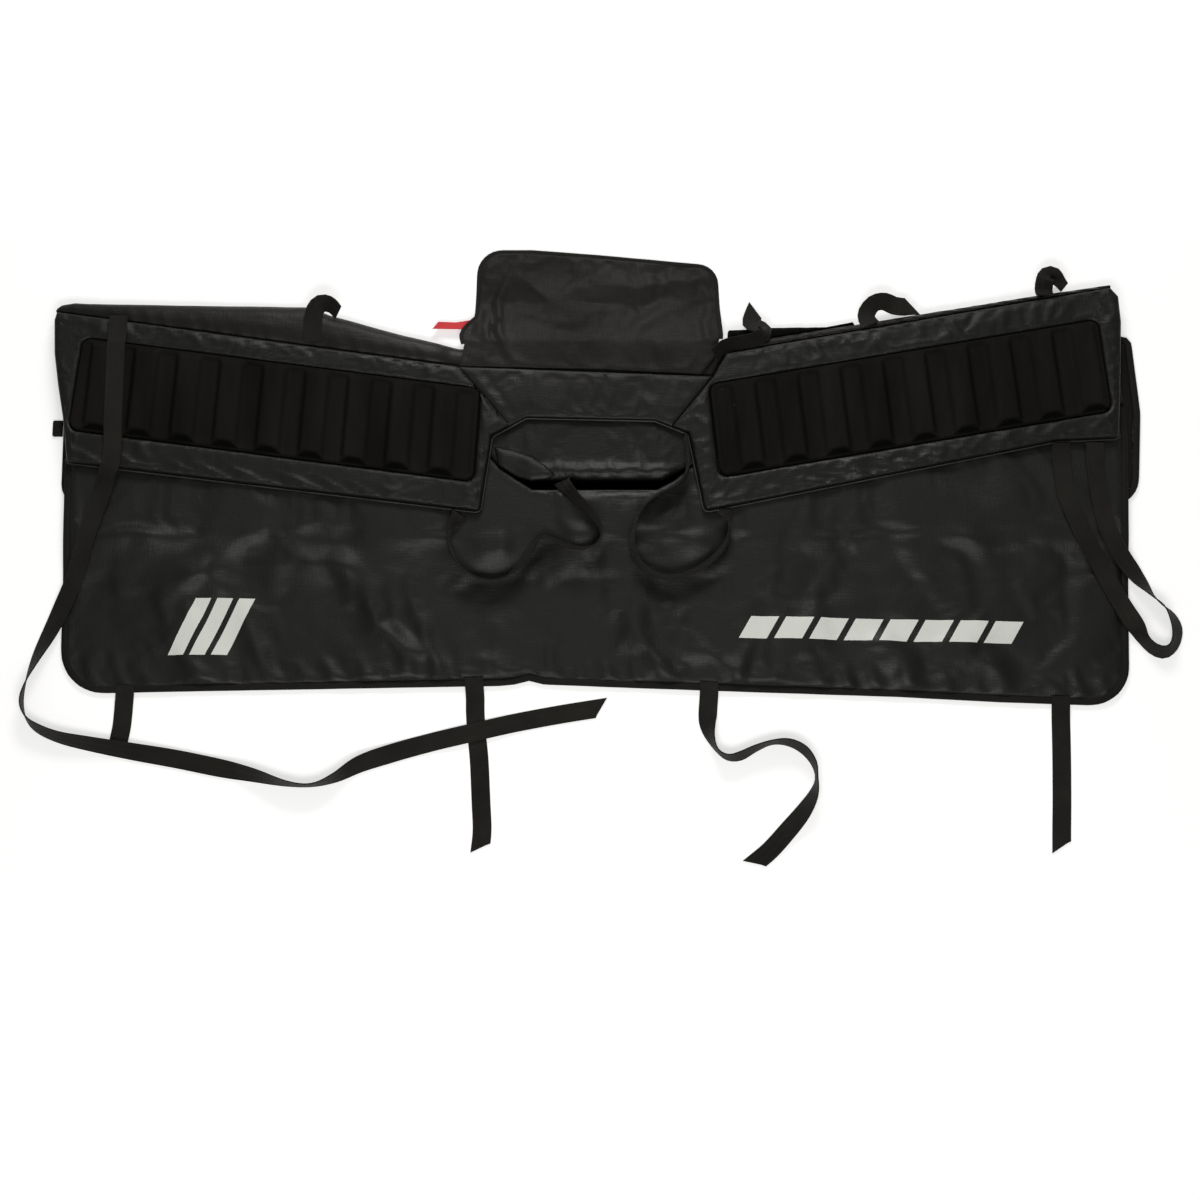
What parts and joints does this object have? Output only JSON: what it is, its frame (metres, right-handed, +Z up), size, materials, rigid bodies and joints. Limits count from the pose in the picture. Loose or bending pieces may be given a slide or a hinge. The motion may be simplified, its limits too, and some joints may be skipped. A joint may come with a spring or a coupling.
{
  "type": "folded padded tailgate cover",
  "caption": "Padded cover for a pickup tailgate, folded flat on the floor, with ribbed bumpers let into its wings, a handle flap and loose webbing straps",
  "frame": {"origin": "on the flat underside of the bed-side panel, midway along the pad", "axes": "+X along the pad towards the side strap, -Y towards the hem with the tie-down straps, +Z up from the floor"},
  "size_m": [1.5588, 0.8604, 0.0448],
  "materials": {
    "coated_fabric": "satin coated cloth",
    "edge_tape": "woven tape",
    "webbing": "matt woven webbing",
    "piping": "satin",
    "fleece": "napped",
    "label": "woven label",
    "bumper": "matt moulded",
    "buckle_plastic": "matt moulded"
  },
  "bodies": {
    "root": {"inner_panel": "coated_fabric", "crown_roll": "coated_fabric", "outer_panel": "coated_fabric", "left_backing_panel": "coated_fabric", "right_backing_panel": "coated_fabric", "centre_valance": "coated_fabric", "side_pleat": "coated_fabric", "left_wing": "coated_fabric", "right_wing": "coated_fabric", "centre_bridge": "coated_fabric", "handle_flap": "coated_fabric", "inner_panel_tape": "edge_tape", "outer_panel_tape": "edge_tape", "handle_flap_tape": "edge_tape", "edge_tab": "edge_tape", "bike_strap_1": "webbing", "bike_strap_3": "webbing", "bike_strap_4": "webbing", "side_strap": "webbing", "tie_strap_1": "webbing", "tie_strap_2": "webbing", "tie_strap_3": "webbing", "tie_strap_4": "webbing", "bike_strap_2": "webbing", "bike_strap_5": "webbing", "bike_strap_6": "webbing", "strap_tail": "webbing", "buckle_loop_1": "webbing", "buckle_loop_2": "webbing", "buckle_loop_3": "webbing", "buckle_loop_4": "webbing", "tie_buckle_1": "buckle_plastic", "tie_buckle_2": "buckle_plastic", "tie_buckle_3": "buckle_plastic", "tie_buckle_4": "buckle_plastic", "yoke_piping": "piping", "fleece_lining": "fleece", "fabric_label": "label", "left_bumper": "bumper", "right_bumper": "bumper"}
  },
  "joints": []
}
